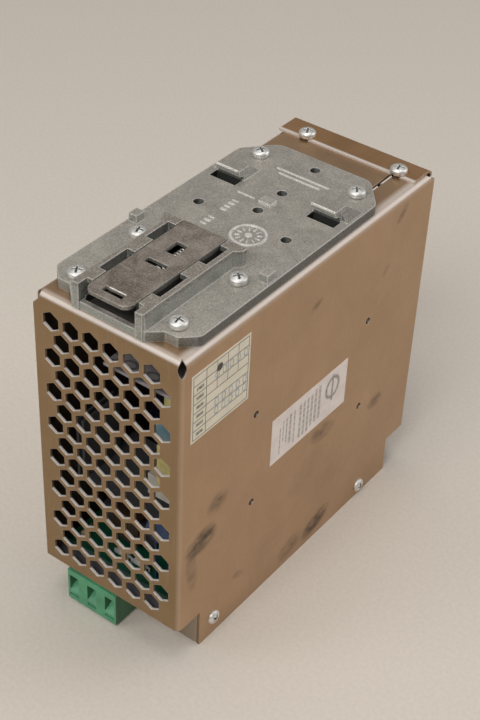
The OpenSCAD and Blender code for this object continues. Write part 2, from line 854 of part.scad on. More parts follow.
module transformer_bobbin() {
    color("ivory") {
        difference() {
            union() {
                bar_z([0, 25], 14.0, 27.5, 28.5);
                bar_z([0, 25], 14.0, 48.3, 49.3);
                bar_z([0, 25], 7.3, 27.5, 49.3);
            }
            bar_z([0, 25], 6.6, 20, 60);
        }
        for (y = [11.2, 35.6]) {
            block([-12, y, 20.4], [12, y + 3.2, 28.5]);
            for (x = [-10, -5, 0, 5, 10]) {
                block([x - 0.4, y + 1.2, board_top], [x + 0.4, y + 2, 21]);
            }
        }
    }
}

module transformer_winding() {
    color("gold") difference() {
        bar_z([0, 25], 13.4, 28.6, 48.2);
        bar_z([0, 25], 7.4, 28, 49);
    }
}

module output_choke() {
    color("peru") translate([-12, 50.4, board_top]) difference() {
        cylinder(r = 6.9, h = 11);
        translate([0, 0, -1]) cylinder(r = 2.6, h = 13);
    }
}

module output_capacitors() {
    color("darkslateblue") for (x = [1.2, 11.2, 20.2]) {
        bar_z([x, 48.8], 4.4, board_top, 45);
    }
}

// ---------------------------------------------------------------- front controls

module trim_pot() {
    color("royalblue") difference() {
        block([trim_at.x - 3.3, trim_at.y - 3.3, 10], [trim_at.x + 3.3, trim_at.y + 3.3, board_z]);
        bar_z(trim_at, 2.05, 9, 12.2);
    }
}

module trim_rotor() {
    color("white") difference() {
        bar_z(trim_at, 2.0, 6, 12);
        block([trim_at.x - 3, trim_at.y - 0.4, 5], [trim_at.x + 3, trim_at.y + 0.4, 7.2]);
    }
}

module status_led() {
    color("limegreen") {
        translate([led_at.x, led_at.y, 2.6]) sphere(r = 2.4);
        bar_z(led_at, 2.4, 2.6, 9);
        bar_z(led_at, 2.8, 8.2, 9.2);
        for (x = [-1.27, 1.27]) {
            bar_z([led_at.x + x, led_at.y], 0.3, 9, board_z);
        }
    }
}

// ---------------------------------------------------------------- assembly

housing_shell();
side_cover();
far_end_plate();
front_panel();
front_label();
rail_adapter();
latch_slide();
latch_spring();
adapter_screws();
flange_screws();
side_screws();
table_label();
notice_label();
main_board();
board_standoffs();
board_screws();
insulation_sheet();
header_pins();
input_header();
input_plug();
input_contacts();
at_input() clamp_screw(0);  // input_screw_1
at_input() clamp_screw(1);  // input_screw_2
at_input() clamp_screw(2);  // input_screw_3
at_input() clamp_cage(0);  // input_cage_1
at_input() clamp_cage(1);  // input_cage_2
at_input() clamp_cage(2);  // input_cage_3
output_header();
output_plug();
output_contacts();
at_output() clamp_screw(0);  // output_screw_1
at_output() clamp_screw(1);  // output_screw_2
at_output() clamp_screw(2);  // output_screw_3
at_output() clamp_screw(3);  // output_screw_4
at_output() clamp_cage(0);  // output_cage_1
at_output() clamp_cage(1);  // output_cage_2
at_output() clamp_cage(2);  // output_cage_3
at_output() clamp_cage(3);  // output_cage_4
line_choke_core();
line_choke_windings();
varistor();
fuse();
fuse_clips();
filter_board();
filter_bracket();
x_capacitors();
y_capacitors();
bulk_capacitors();
heatsinks();
power_semiconductors();
transformer_core();
transformer_bobbin();
transformer_winding();
output_choke();
output_capacitors();
control_board();
trim_pot();
trim_rotor();
status_led();
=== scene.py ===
import math
import random

import bmesh
import bpy
from mathutils import Euler, Matrix, Vector


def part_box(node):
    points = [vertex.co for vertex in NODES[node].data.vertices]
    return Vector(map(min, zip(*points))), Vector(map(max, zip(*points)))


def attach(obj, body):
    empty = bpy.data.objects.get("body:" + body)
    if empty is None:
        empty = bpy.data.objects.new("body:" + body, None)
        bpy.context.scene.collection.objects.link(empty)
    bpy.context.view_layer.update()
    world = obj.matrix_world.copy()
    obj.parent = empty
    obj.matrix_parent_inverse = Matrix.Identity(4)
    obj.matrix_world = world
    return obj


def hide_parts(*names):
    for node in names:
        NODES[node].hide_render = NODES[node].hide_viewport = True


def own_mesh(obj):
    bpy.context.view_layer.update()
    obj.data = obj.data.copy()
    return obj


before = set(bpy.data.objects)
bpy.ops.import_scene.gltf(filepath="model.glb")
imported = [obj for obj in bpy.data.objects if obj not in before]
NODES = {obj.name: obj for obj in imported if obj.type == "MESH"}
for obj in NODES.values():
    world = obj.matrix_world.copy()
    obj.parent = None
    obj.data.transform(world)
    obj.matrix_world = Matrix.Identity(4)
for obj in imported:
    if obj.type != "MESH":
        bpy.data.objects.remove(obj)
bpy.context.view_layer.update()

MM = 0.001


def mm(*values):
    """A point or a size in metres, from millimetres."""
    return tuple(v * MM for v in values)


# ------------------------------------------------------------------ materials


class Material:
    """A node material, built from small steps that each return a socket."""

    def __init__(self, name, roughness=0.5, metallic=0.0, **inputs):
        self.data = bpy.data.materials.new(name)
        self.data.use_nodes = True
        self.tree = self.data.node_tree
        self.tree.nodes.clear()
        self.out = self.tree.nodes.new("ShaderNodeOutputMaterial")
        self.shader = self.tree.nodes.new("ShaderNodeBsdfPrincipled")
        self.tree.links.new(self.shader.outputs[0], self.out.inputs[0])
        self.set("Roughness", roughness)
        self.set("Metallic", metallic)
        for key, value in inputs.items():
            self.set(key.replace("_", " "), value)
        self.place = self.node("ShaderNodeTexCoord").outputs["Object"]
        self._axes = None

    def node(self, kind, **props):
        made = self.tree.nodes.new(kind)
        for key, value in props.items():
            setattr(made, key, value)
        return made

    def put(self, target, value):
        """Links a socket to an input, or sets the input's own value."""
        if isinstance(value, bpy.types.NodeSocket):
            self.tree.links.new(value, target)
        elif isinstance(value, tuple) and len(value) == 3 and target.type == "RGBA":
            target.default_value = (*value, 1.0)
        else:
            target.default_value = value

    def set(self, name, value):
        self.put(self.shader.inputs[name], value)

    def stretch(self, scale, turn=(0, 0, 0)):
        """The coordinates, scaled per axis and turned in degrees."""
        mapping = self.node("ShaderNodeMapping")
        self.put(mapping.inputs["Vector"], self.place)
        mapping.inputs["Scale"].default_value = scale
        mapping.inputs["Rotation"].default_value = [math.radians(t) for t in turn]
        return mapping.outputs[0]

    def noise(self, size_mm, detail, roughness, where=None, distortion=0.0):
        """Cloudy noise whose largest features are about size_mm."""
        made = self.node("ShaderNodeTexNoise")
        self.put(made.inputs["Vector"], where or self.place)
        made.inputs["Scale"].default_value = 1 / (size_mm * MM)
        made.inputs["Detail"].default_value = detail
        made.inputs["Roughness"].default_value = roughness
        made.inputs["Distortion"].default_value = distortion
        return made.outputs[0]

    def cells(self, size_mm):
        """Distance to the nearest of scattered points about size_mm apart."""
        made = self.node("ShaderNodeTexVoronoi")
        self.put(made.inputs["Vector"], self.place)
        made.inputs["Scale"].default_value = 1 / (size_mm * MM)
        return made.outputs["Distance"]

    def math(self, operation, *values):
        made = self.node("ShaderNodeMath", operation=operation)
        for socket, value in zip(made.inputs, values):
            self.put(socket, value)
        return made.outputs[0]

    def plus(self, a, b):
        return self.math("ADD", a, b)

    def minus(self, a, b):
        return self.math("SUBTRACT", a, b)

    def times(self, a, b):
        return self.math("MULTIPLY", a, b)

    def over(self, a, b):
        return self.math("DIVIDE", a, b)

    def larger(self, a, b):
        return self.math("MAXIMUM", a, b)

    def magnitude(self, a):
        return self.math("ABSOLUTE", a)

    def span(self, value, low, high, to_low=0.0, to_high=1.0, smooth=False):
        """Maps value from low..high to to_low..to_high, clamped."""
        made = self.node("ShaderNodeMapRange")
        made.interpolation_type = "SMOOTHSTEP" if smooth else "LINEAR"
        for socket, v in zip(made.inputs, (value, low, high, to_low, to_high)):
            self.put(socket, v)
        return made.outputs[0]

    def mix(self, factor, a, b, blend="MIX"):
        """Colour a where the factor is 0, and b where it is 1."""
        made = self.node("ShaderNodeMix", data_type="RGBA", blend_type=blend)
        self.put(made.inputs[0], factor)
        self.put(made.inputs[6], a)
        self.put(made.inputs[7], b)
        return made.outputs[2]

    def tinted(self, factor, colour, by):
        """A colour multiplied by another, as far as the factor says."""
        return self.mix(factor, colour, self.mix(1.0, colour, by, "MULTIPLY"))

    def axis(self, index):
        """Object coordinate X, Y or Z, in metres."""
        if self._axes is None:
            split = self.node("ShaderNodeSeparateXYZ")
            self.put(split.inputs[0], self.place)
            self._axes = split.outputs
        return self._axes[index]

    def facing(self, index):
        """The surface normal's X, Y or Z, in the object's own axes."""
        split = self.node("ShaderNodeSeparateXYZ")
        self.put(split.inputs[0], self.node("ShaderNodeTexCoord").outputs["Normal"])
        return split.outputs[index]

    def band(self, index, centre_mm, half_mm, soft_mm=0.05):
        """1 within half_mm of a plane across an axis."""
        off = self.magnitude(self.minus(self.axis(index), centre_mm * MM))
        return self.span(off, (half_mm + soft_mm) * MM, max(half_mm - soft_mm, 0) * MM)

    def box_mask(self, low, high, soft_mm=0.05):
        """1 inside a box given in millimetres; None leaves a side open."""
        factor = 1.0
        for i, (a, b) in enumerate(zip(low, high)):
            if a is not None:
                factor = self.times(factor, self.band(i, (a + b) / 2, (b - a) / 2, soft_mm))
        return factor

    def blot(self, at, size, soft=0.7):
        """A soft round mark at a point, with its own size along each axis, in millimetres."""
        total = 0.0
        for i, (c, s) in enumerate(zip(at, size)):
            if s:
                off = self.over(self.minus(self.axis(i), c * MM), s * MM)
                total = self.plus(total, self.times(off, off))
        return self.span(total, 1.0, 1.0 - soft, 0.0, 1.0, smooth=True)

    def smear(self, y_mm, z_mm, half_long, half_wide, degrees):
        """A soft elongated mark on the labelled side, at an angle."""
        c, s = math.cos(math.radians(degrees)), math.sin(math.radians(degrees))
        y = self.minus(self.axis(1), y_mm * MM)
        z = self.minus(self.axis(2), z_mm * MM)
        long, wide = half_long * MM, half_wide * MM
        along = self.plus(self.times(y, c / long), self.times(z, s / long))
        across = self.plus(self.times(y, -s / wide), self.times(z, c / wide))
        far = self.plus(self.times(along, along), self.times(across, across))
        return self.span(far, 1.0, 0.0, 0.0, 1.0, smooth=True)

    def bends(self):
        """Where a face is turned away from all three axes, apart from the upright bends."""
        parts = [self.magnitude(self.facing(i)) for i in range(3)]
        most = self.larger(self.larger(parts[0], parts[1]), parts[2])
        tilted = self.span(most, 0.995, 0.86)
        return self.times(tilted, self.span(parts[2], 0.06, 0.25, 0.15, 1.0))

    def edges(self, radius_mm=0.5):
        """Where an edge is worn: the bevelled normal leaves the true one."""
        bevel = self.node("ShaderNodeBevel", samples=4)
        bevel.inputs["Radius"].default_value = radius_mm * MM
        true = self.node("ShaderNodeNewGeometry").outputs["Normal"]
        product = self.node("ShaderNodeVectorMath", operation="DOT_PRODUCT")
        self.put(product.inputs[0], bevel.outputs[0])
        self.put(product.inputs[1], true)
        return self.span(product.outputs["Value"], 0.995, 0.80)

    def bump(self, height, strength, distance_mm, soften_mm=None):
        """Fine relief on the surface, with its edges rounded by soften_mm."""
        made = self.node("ShaderNodeBump")
        made.inputs["Strength"].default_value = strength
        made.inputs["Distance"].default_value = distance_mm * MM
        self.put(made.inputs["Height"], height)
        if soften_mm:
            bevel = self.node("ShaderNodeBevel", samples=4)
            bevel.inputs["Radius"].default_value = soften_mm * MM
            self.put(made.inputs["Normal"], bevel.outputs[0])
        self.set("Normal", made.outputs[0])


def sheet_steel(name, tint, light, scuffs=(), end=(0.66, 0.66, 0.575), top=(0.74, 0.73, 0.72),
                bands=(), shade=(), inner=((-26.84, -64.07, 0.0), (26.84, 64.07, 120.64)),
                dim=(0.30, 0.33, 0.38)):
    """Zinc-coated sheet: fine grain, soft clouds, drawn streaks, bright worn edges, painted highlights on
    the bends and hole rims, and dark scuffs.

    end and top tint the faces along Y and up, as painted shade on those sides; bands add painted
    highlights in boxes;
    shade adds painted shade as dark blots; dim darkens what lies in the box called inner, as painted shade
    inside.
    """
    streak, fleck, scuff = (0.72, 0.66, 0.58), (0.30, 0.25, 0.20), (0.050, 0.040, 0.032)
    wear_and_highlight, cut_edge_highlight, opening_shade = (0.70, 0.64, 0.60), (0.95, 0.90, 0.86), (0.03, 0.03, 0.03)
    m = Material(name)
    clouds = m.noise(26, 4, 0.6, distortion=0.6)
    grain = m.noise(0.35, 2, 0.6, m.stretch((1, 1, 0.25)))
    streaks = m.noise(1.2, 3, 0.7, m.stretch((1, 0.9, 0.05), (24, 0, 0)))
    flecks = m.noise(2.6, 5, 0.75)
    smudge = m.noise(2.6, 3, 0.6, m.stretch((1, 0.55, 1.0), (28, 0, 0)))
    along_y = m.magnitude(m.facing(1))

    colour = m.mix(m.span(clouds, 0.35, 0.68), tint, light)
    # painted shade by side: the faces along Y take end, the faces turned up take top
    colour = m.tinted(m.span(along_y, 0.6, 0.95), colour, end)
    colour = m.tinted(m.span(m.facing(2), 0.6, 0.95), colour, top)
    colour = m.mix(m.times(m.span(streaks, 0.56, 0.75), 0.08), colour, streak)
    colour = m.mix(m.times(m.span(flecks, 0.60, 0.75), 0.25), colour, fleck)
    for y, z, half_long, half_wide, degrees, depth in scuffs:
        mark = m.smear(y, z, half_long, half_wide, degrees)
        ragged = m.times(mark, m.span(smudge, 0.28, 0.66, 0.15, 1.0))
        colour = m.mix(m.times(ragged, depth), colour, scuff)

    # painted highlights along the top bends, and in the boxes given as bands
    bent = m.bends()
    for low, high, soft, depth in bands:
        bent = m.larger(bent, m.times(m.box_mask(low, high, soft), depth))
    # bright worn edges, with the painted bend highlights mixed in
    worn = m.larger(m.times(m.edges(0.5), 0.40), m.times(bent, 0.85))
    colour = m.mix(worn, colour, wear_and_highlight)
    # the rims of the perforations in the near wall: bare cut edges, painted bright as a highlight
    near_skin = m.span(m.axis(1), -64.0 * MM, -64.1 * MM)
    rim_highlight = m.times(m.times(m.bends(), m.span(along_y, 0.2, 0.05)), near_skin)
    colour = m.mix(rim_highlight, colour, cut_edge_highlight)
    # painted shade: dark blots where the sheet lies under the adapter's openings
    for at, size in shade:
        colour = m.mix(m.blot(at, size, 0.3), colour, opening_shade)
    # painted shade: what lies in the inner box, inside the case, is darkened
    colour = m.tinted(m.box_mask(*inner, 0.04), colour, dim)

    m.set("Base Color", colour)
    m.set("Metallic", m.span(bent, 0.0, 1.0, 0.80, 0.30))
    m.set("Roughness", m.plus(m.span(clouds, 0.3, 0.7, 0.42, 0.54), m.span(grain, 0.3, 0.7, -0.05, 0.06)))
    m.bump(m.plus(m.times(grain, 0.25), clouds), 0.22, 0.12, 0.35)
    return m


def cast_zinc(name, dark, base, light, speck=0.5, handled=None, shade_boxes=(), scratches=0.0, polish=0.75,
              glints=()):
    """Die-cast zinc: fine speckle, soft flow marks, pits, polished edges with a painted highlight, a
    handled, browner top and painted shade on upright faces, low sides and slopes.

    grime darkens boxes to a depth, as painted shade; glints brighten boxes, as painted highlights.
    """
    pit, shade_colour, scratch = (0.12, 0.12, 0.13), (0.035, 0.036, 0.036), (0.62, 0.58, 0.52)
    polished, glint = (0.86, 0.86, 0.84), (0.98, 0.96, 0.92)
    upright_shade, slope_shade, low_side_shade = (0.76, 0.90, 0.98), (0.42, 0.41, 0.41), (0.42, 0.40, 0.39)
    m = Material(name, metallic=0.62)
    flow = m.noise(9, 4, 0.6, distortion=1.0)
    speckle = m.noise(0.55, 3, 0.75)
    mottle = m.noise(1.6, 4, 0.7)
    pits = m.cells(0.8)
    x_way, z_way, height = m.facing(0), m.facing(2), m.axis(2)

    colour = m.mix(m.span(flow, 0.34, 0.66), dark, base)
    if handled:
        high = m.span(height, 128.6 * MM, 129.6 * MM)
        colour = m.mix(m.times(high, m.span(mottle, 0.30, 0.60, 0.55, 0.95)), colour, handled)
    colour = m.mix(m.times(m.span(speckle, 0.50, 0.68), 0.75), colour, light)
    colour = m.mix(m.times(m.span(speckle, 0.46, 0.30), 0.70), colour, tuple(c * 0.50 for c in dark))
    colour = m.mix(m.times(m.span(mottle, 0.55, 0.72), 0.30), colour, light)
    colour = m.mix(m.times(m.span(pits, 0.20, 0.05), speck), colour, pit)

    # painted shade with a cool cast on the upright faces
    upright = m.span(m.magnitude(z_way), 0.5, 0.1)
    colour = m.tinted(m.times(upright, 0.55), colour, upright_shade)
    # painted shade on the sides below the top that face along X
    below_top = m.span(height, 125.0 * MM, 124.6 * MM)
    colour = m.tinted(m.times(m.span(m.magnitude(x_way), 0.4, 0.8), below_top), colour, low_side_shade)
    # polished edges, brightened further as a painted highlight
    colour = m.mix(m.times(m.edges(0.7), polish), colour, polished)
    # painted shade on the slopes that face +X
    slope = m.times(m.span(x_way, 0.25, 0.40), m.span(x_way, 0.97, 0.90))
    colour = m.tinted(m.times(slope, m.span(z_way, 0.25, 0.35)), colour, slope_shade)
    for low, high in glints:
        broken = m.span(mottle, 0.35, 0.5, 0.45, 1.0)
        colour = m.mix(m.times(m.box_mask(low, high, 0.15), broken), colour, glint)
    if scratches:
        fine = m.noise(0.5, 2, 0.5, m.stretch((1.0, 0.06, 1.0), (0, 0, 28)))
        cross = m.noise(0.6, 2, 0.5, m.stretch((0.07, 1.0, 1.0), (0, 0, 17)))
        marks = m.larger(m.span(fine, 0.64, 0.74), m.span(cross, 0.66, 0.76))
        colour = m.mix(m.times(marks, scratches), colour, scratch)
    # painted shade in the listed boxes
    shade_mask = 0.0
    for low, high, depth in shade_boxes:
        shade_mask = m.larger(shade_mask, m.times(m.box_mask(low, high, 0.15), depth))
    colour = m.mix(shade_mask, colour, shade_colour)

    m.set("Base Color", colour)
    m.set("Roughness", m.plus(m.span(flow, 0.3, 0.7, 0.40, 0.52), m.span(speckle, 0.4, 0.7, 0.05, -0.06)))
    relief = m.plus(m.times(speckle, 0.5), m.plus(m.times(flow, 0.6), m.times(pits, 0.25)))
    m.bump(relief, 0.40, 0.16, 0.25)
    return m


def bright_metal(name, base, roughness=0.22, grain_mm=0.3, edge=(0.95, 0.94, 0.92), amount=0.4):
    """Plated or plain bright metal: fine grain, faint stains and its edges in their own colour."""
    m = Material(name, metallic=0.85)
    grain = m.noise(grain_mm, 3, 0.6)
    stain = m.noise(1.8, 3, 0.6)
    colour = m.mix(m.span(stain, 0.40, 0.66), base, tuple(c * 0.80 for c in base))
    colour = m.mix(m.times(m.edges(0.25), amount), colour, edge)
    m.set("Base Color", colour)
    m.set("Roughness", m.span(stain, 0.3, 0.7, roughness, roughness + 0.10))
    m.bump(grain, 0.06, 0.03, 0.20)
    return m


def moulded(name, base, roughness=0.42, metallic=0.0, mottle=0.12, coat=0.0, lower=None, rings=(),
            shaded=None):
    """Moulded, painted or epoxy-dipped piece: slight colour drift, fine grain, dust and paler edges.

    lower is another colour for what lies below a height or to the left of an x; rings are
    painted shadow rings that the holes of a nearby wall cast; shaded tints the faces towards +X, as
    painted shade.
    """
    m = Material(name, roughness, metallic, Coat_Weight=coat)
    drift = m.noise(4.5, 3, 0.6)
    dust = m.noise(0.8, 4, 0.7)
    grain = m.noise(0.25, 2, 0.5)
    dark = tuple(c * (1 - 2.2 * mottle) for c in base)
    pale = tuple(min(1.0, c * 0.75 + 0.22) for c in base)
    ring_shadow = tuple(c * 0.22 for c in base)
    colour = m.mix(m.span(drift, 0.35, 0.65), dark, base)
    if lower:
        below, left, other = lower
        under = m.span(m.axis(2), (below + 0.05) * MM, (below - 0.05) * MM)
        aside = m.span(m.axis(0), (left + 0.05) * MM, (left - 0.05) * MM)
        colour = m.mix(m.larger(under, aside), colour, other)
    # painted shadow rings, cast by the holes of the wall in front
    for at, size in rings:
        inner_size = tuple(s * 0.62 for s in size)
        shadow_ring = m.minus(m.blot(at, size, 0.3), m.blot(at, inner_size, 0.3))
        colour = m.mix(m.times(shadow_ring, 0.75), colour, ring_shadow)
    # painted shade on the faces towards +X
    if shaded:
        colour = m.tinted(m.span(m.facing(0), 0.6, 0.9), colour, shaded)
    colour = m.mix(m.times(m.span(dust, 0.58, 0.78), 0.25), colour, pale)
    colour = m.mix(m.times(m.edges(0.3), 0.25), colour, pale)
    m.set("Base Color", colour)
    m.set("Roughness", m.span(dust, 0.35, 0.7, roughness - 0.05, roughness + 0.12))
    m.bump(grain, 0.15, 0.06, 0.15)
    return m


def paper(name, base, marks):
    """Printed label: slightly aged stock with plain printed marks from a function."""
    m = Material(name, 0.5)
    age = m.noise(6, 4, 0.6)
    fibre = m.noise(0.25, 2, 0.6)
    colour = m.mix(m.span(age, 0.40, 0.72), base, tuple(c * 0.86 for c in base))
    for mask, ink in marks(m):
        colour = m.mix(mask, colour, ink)
    m.set("Base Color", colour)
    m.set("Roughness", m.span(fibre, 0.3, 0.7, 0.42, 0.60))
    m.bump(fibre, 0.2, 0.03)
    return m


def assign(material, *names):
    """Gives CAD nodes a finish."""
    for name in names:
        target = NODES[name]
        target.data.materials.clear()
        target.data.materials.append(material.data)


# ------------------------------------------------------------------ labels


def table_marks(m):
    """A plain ruled table, with short bars and rings where a form would be filled in."""
    ink, bar_ink, stamp_ink = (0.07, 0.06, 0.05), (0.12, 0.11, 0.10), (0.33, 0.40, 0.46)
    y0, y1, z0, z1 = -61.0, -34.0, 90.3, 114.7
    margin, first_column, rows = 0.8, 6.6, 7
    foot, head = z0 + margin, z1 - margin
    pitch = (head - foot) / rows
    ruled, thin = 0.14, 0.12
    lines = []
    for i in range(rows + 1):
        z = foot + i * pitch
        lines.append(m.box_mask((None, y0 + margin, z - ruled), (None, y1 - margin, z + ruled)))
    for y in (y0 + margin, y0 + first_column, y1 - margin):
        lines.append(m.box_mask((None, y - ruled, foot), (None, y + ruled, head)))
    for i in range(1, 4):
        y = y0 + first_column + i * (y1 - y0 - first_column - margin) / 4
        lines.append(m.box_mask((None, y - thin, head - 3 * pitch), (None, y + thin, head)))
    total = lines[0]
    for line in lines[1:]:
        total = m.larger(total, line)

    # rings in three of the rows, in columns of their own
    stamp_pitch, stamp_height = 3.3, 6.0
    stamps = 0.0
    column = m.minus(m.math("FRACT", m.over(m.minus(m.axis(1), y0 * MM), stamp_pitch * MM)), 0.5)
    for row in (1, 2, 5):
        z = foot + (row + 0.5) * pitch
        up = m.over(m.minus(m.axis(2), z * MM), stamp_height * MM)
        far = m.math("SQRT", m.plus(m.times(column, column), m.times(up, up)))
        ring = m.span(m.magnitude(m.minus(far, 0.24)), 0.085, 0.045)
        row_only = m.box_mask((None, y0 + 9.9, z - 1.9), (None, y0 + 26.0, z + 1.9), 0.1)
        stamps = m.larger(stamps, m.times(ring, row_only))

    # a bar at the head of each row but the topmost
    bars = 0.0
    for row in range(rows - 1):
        z = foot + (row + 0.5) * pitch
        bars = m.larger(bars, m.box_mask((None, y0 + 2.2, z - 0.55), (None, y0 + 5.4, z + 0.55), 0.15))
    dot = m.blot((0, y0 + 12.6, head - 0.9 * pitch), (0, 1.6, 1.5), 0.4)
    wear = m.span(m.noise(0.9, 4, 0.7), 0.35, 0.60, 0.35, 1.0)
    return [(m.times(total, 0.9), ink), (m.times(bars, wear), bar_ink), (m.times(stamps, wear), stamp_ink),
            (dot, ink)]


def notice_marks(m):
    """Grey lines of no words, a plain ring and a bar."""
    y0, y1, z0, z1 = -20.0, 21.6, 53.4, 71.9
    ink, mark_ink = (0.20, 0.20, 0.20), (0.16, 0.16, 0.16)
    dash_pitch = 2.3
    dash = m.math("FRACT", m.times(m.axis(2), 1 / (dash_pitch * MM)))
    gaps = m.span(dash, 0.80, 0.86, 1.0, 0.25)
    words = m.times(gaps, m.span(m.noise(0.45, 2, 0.6), 0.38, 0.55, 0.3, 1.0))
    # each line's distance from the left edge, its foot and top, and its half width
    lines = (
        (4.6, 2.0, 13.0, 0.28), (6.2, 6.5, 14.8, 0.30), (8.0, 5.0, 14.8, 0.42), (10.0, 3.2, 15.6, 0.62),
        (12.2, 1.8, 15.6, 0.42), (15.4, 1.6, 15.8, 0.62), (17.5, 1.6, 15.8, 0.62), (19.6, 1.6, 15.8, 0.62),
        (21.7, 2.8, 15.8, 0.66), (23.9, 3.0, 16.4, 0.70), (26.1, 3.0, 16.4, 0.70),
    )
    total = 0.0
    for y, low, high, half in lines:
        line = m.box_mask((None, y0 + y - half, z0 + low), (None, y0 + y + half, z0 + high), 0.14)
        total = m.larger(total, line)
    total = m.times(total, words)
    centre = (0, y1 - 8.2, z1 - 7.0)
    ring = m.minus(m.blot(centre, (0, 4.5, 5.0), 0.35), m.blot(centre, (0, 3.2, 3.6), 0.35))
    bar = m.box_mask((None, y1 - 8.7, z1 - 12.6), (None, y1 - 7.7, z1 - 1.8), 0.2)
    worn = m.span(m.noise(0.8, 3, 0.6), 0.35, 0.55, 0.35, 0.85)
    return [(m.times(total, 0.78), ink), (m.times(m.larger(ring, bar), worn), mark_ink)]


def front_marks(m):
    """Pale ruled fields round the lamp and the trimmer."""
    ink = (0.75, 0.76, 0.78)
    total = 0.0
    for y in (20, 57, -20, -45):
        total = m.larger(total, m.box_mask((-22, y - 0.15, None), (22, y + 0.15, None)))
    total = m.larger(total, m.box_mask((-20, 24, None), (4, 50, None), 0.2))
    return [(m.times(total, 0.9), ink)]


# ------------------------------------------------------------------ pieces


def add_piece(name, bm, material, body, replaced=(), second=None):
    """A visual mesh that rides a body and stands in for the CAD nodes named in replaced."""
    mesh = bpy.data.meshes.new(name)
    bm.to_mesh(mesh)
    bm.free()
    made = bpy.data.objects.new(name, mesh)
    bpy.context.scene.collection.objects.link(made)
    mesh.materials.append(material.data)
    if second:
        mesh.materials.append(second.data)
    mesh.shade_smooth()
    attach(made, body)
    if replaced:
        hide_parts(*replaced)
    return made


def skin(bm, rings, cut=()):
    """Faces between rings of vertices, and over both ends; cut vertices get the second material."""
    sides = len(rings[0])
    for one, two in zip(rings, rings[1:]):
        for i in range(sides):
            corners = (one[i], one[(i + 1) % sides], two[(i + 1) % sides], two[i])
            bm.faces.new(corners).material_index = int(sum(v in cut for v in corners) > 1)
    bm.faces.new(rings[0][::-1])
    bm.faces.new(rings[-1]).material_index = int(bool(cut))


def softened(node, width_mm, name, material, body):
    """A copy of a CAD node with its sharp edges rounded."""
    flat, sharp_angle = math.radians(0.4), math.radians(28)
    bm = bmesh.new()
    bm.from_mesh(NODES[node].data)
    bmesh.ops.remove_doubles(bm, verts=bm.verts, dist=1e-6)
    bmesh.ops.dissolve_limit(bm, angle_limit=flat, verts=bm.verts, edges=bm.edges)
    sharp = [e for e in bm.edges if len(e.link_faces) == 2 and e.calc_face_angle(0) > sharp_angle]
    bmesh.ops.bevel(bm, geom=sharp, offset=width_mm * MM, offset_type="OFFSET", segments=2,
                    profile=0.6, affect="EDGES", clamp_overlap=True)
    made = add_piece(name, bm, material, body, (node,))
    weighted = made.modifiers.new("weighted", "WEIGHTED_NORMAL")
    weighted.keep_sharp = True
    weighted.weight = 80
    return made


def coil_spring(name, material):
    """The latch spring as a smooth coil, its wire capped at both ends."""
    low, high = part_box("latch_spring")
    centre = (low + high) / 2
    wire, radius = 0.30 * MM, 1.55 * MM
    turns, steps, sides = 20, 28, 10
    length = high.y - low.y - 2 * wire
    bm = bmesh.new()
    rings = []
    for k in range(turns * steps + 1):
        t = k / (turns * steps)
        a = 2 * math.pi * turns * t
        out = Vector((math.cos(a), 0, math.sin(a)))
        at = Vector((centre.x, low.y + wire + t * length, centre.z)) + out * radius
        rings.append([bm.verts.new(at + out * (wire * math.cos(b)) + Vector((0, wire * math.sin(b), 0)))
                      for b in (2 * math.pi * i / sides for i in range(sides))])
    skin(bm, rings)
    made = add_piece(name, bm, material, "case", ("latch_spring",))
    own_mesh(made)
    return made


def island_boxes(node):
    """The lowest and highest corners of each separate solid in a CAD node."""
    bm = bmesh.new()
    bm.from_mesh(NODES[node].data)
    bmesh.ops.remove_doubles(bm, verts=bm.verts, dist=1e-6)
    left = set(bm.verts)
    boxes = []
    while left:
        seen, edge = set(), {left.pop()}
        while edge:
            seen |= edge
            edge = {e.other_vert(v) for v in edge for e in v.link_edges} - seen
        left -= seen
        boxes.append([Vector(f(v.co[i] for v in seen) for i in range(3)) for f in (min, max)])
    bm.free()
    return sorted(boxes, key=lambda box: tuple(round(c, 5) for c in box[0]))


def recess(x, y):
    """How far a cross recess goes down at a point of the head's top."""
    arm, half, depth = mm(1.55, 0.27, 1.15)
    wall_soft, end_soft = mm(0.10, 0.25)
    along, across = max(abs(x), abs(y)), min(abs(x), abs(y))
    wall = min(1.0, max(0.0, (half - across) / wall_soft + 0.5))
    end = min(1.0, max(0.0, (arm - along) / end_soft + 0.5))
    return depth * wall * end * (1 - 0.6 * along / arm)


def pan_screw(bm, seat, outward, reach, radius, head, turn):
    """A pan head with upright sides and a cross recess, and its plain shank."""
    sectors, top_steps = 72, 16
    shank, chamfer, seen_depth = mm(1.45, 0.12, 0.15)
    rim = 0.46 * head
    corner = head * 0.88 - rim
    dome = 0.12
    side = [(shank, -reach), (shank, 0), (radius * 0.94, 0), (radius, chamfer), (radius, rim)]
    side += [(radius - corner * 1.15 * (1 - math.cos(a)), rim + corner * math.sin(a))
             for a in (math.radians(step) for step in range(15, 91, 15))]
    edge = side[-1][0]
    side += [(edge * k / top_steps, head * (1 - dome * (k / top_steps) ** 2))
             for k in range(top_steps - 1, 0, -1)]
    lie = outward.to_track_quat("Z", "Y").to_matrix().to_4x4()
    lie.translation = seat
    lie = lie @ Matrix.Rotation(turn, 4, "Z")
    rings, cut = [], set()
    for out, up in side:
        ring = []
        for i in range(sectors):
            a = 2 * math.pi * i / sectors
            x, y = out * math.cos(a), out * math.sin(a)
            sunk = recess(x, y) if up > rim and out < edge else 0.0
            ring.append(bm.verts.new(lie @ Vector((x, y, up - sunk))))
            if sunk > seen_depth:
                cut.add(ring[-1])
        rings.append(ring)
    skin(bm, rings, cut)


